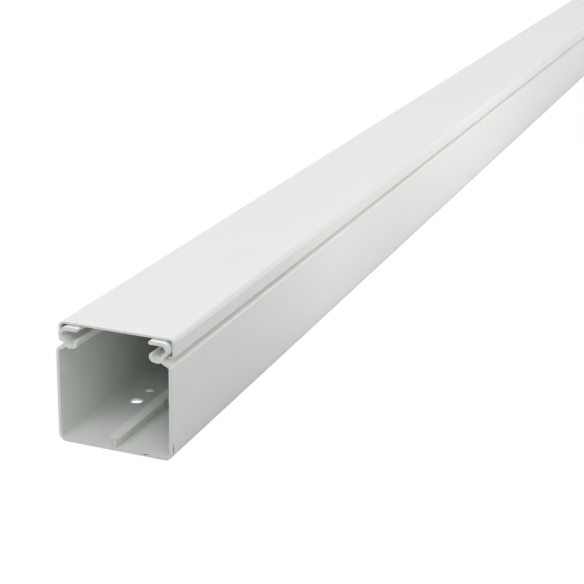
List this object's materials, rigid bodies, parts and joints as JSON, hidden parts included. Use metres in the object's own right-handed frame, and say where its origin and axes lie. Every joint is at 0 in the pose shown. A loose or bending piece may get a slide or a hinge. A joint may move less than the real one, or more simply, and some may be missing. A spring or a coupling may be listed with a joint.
{
  "type": "cable trunking",
  "caption": "Straight stock length of square plastic cable trunking: a channel base with inward clip curls, a floor rib and fixing holes, and a clip-on lid.",
  "frame": {"origin": "middle of the underside of the base, halfway along the whole length, on the surface it lies on or is screwed to", "axes": "+Z from the underside to the lid, +Y along the length away from the near end that the picture shows, +X across"},
  "size_m": [0.06, 2.003, 0.06],
  "materials": {
    "white_upvc": "satin"
  },
  "bodies": {
    "base": {"base": "white_upvc"},
    "lid": {"lid": "white_upvc"}
  },
  "joints": [
    {"name": "lid_slide", "type": "slide", "parent": "base", "child": "lid", "axis": [0, 1, 0], "range_m": [-2.01, 2.01]}
  ]
}
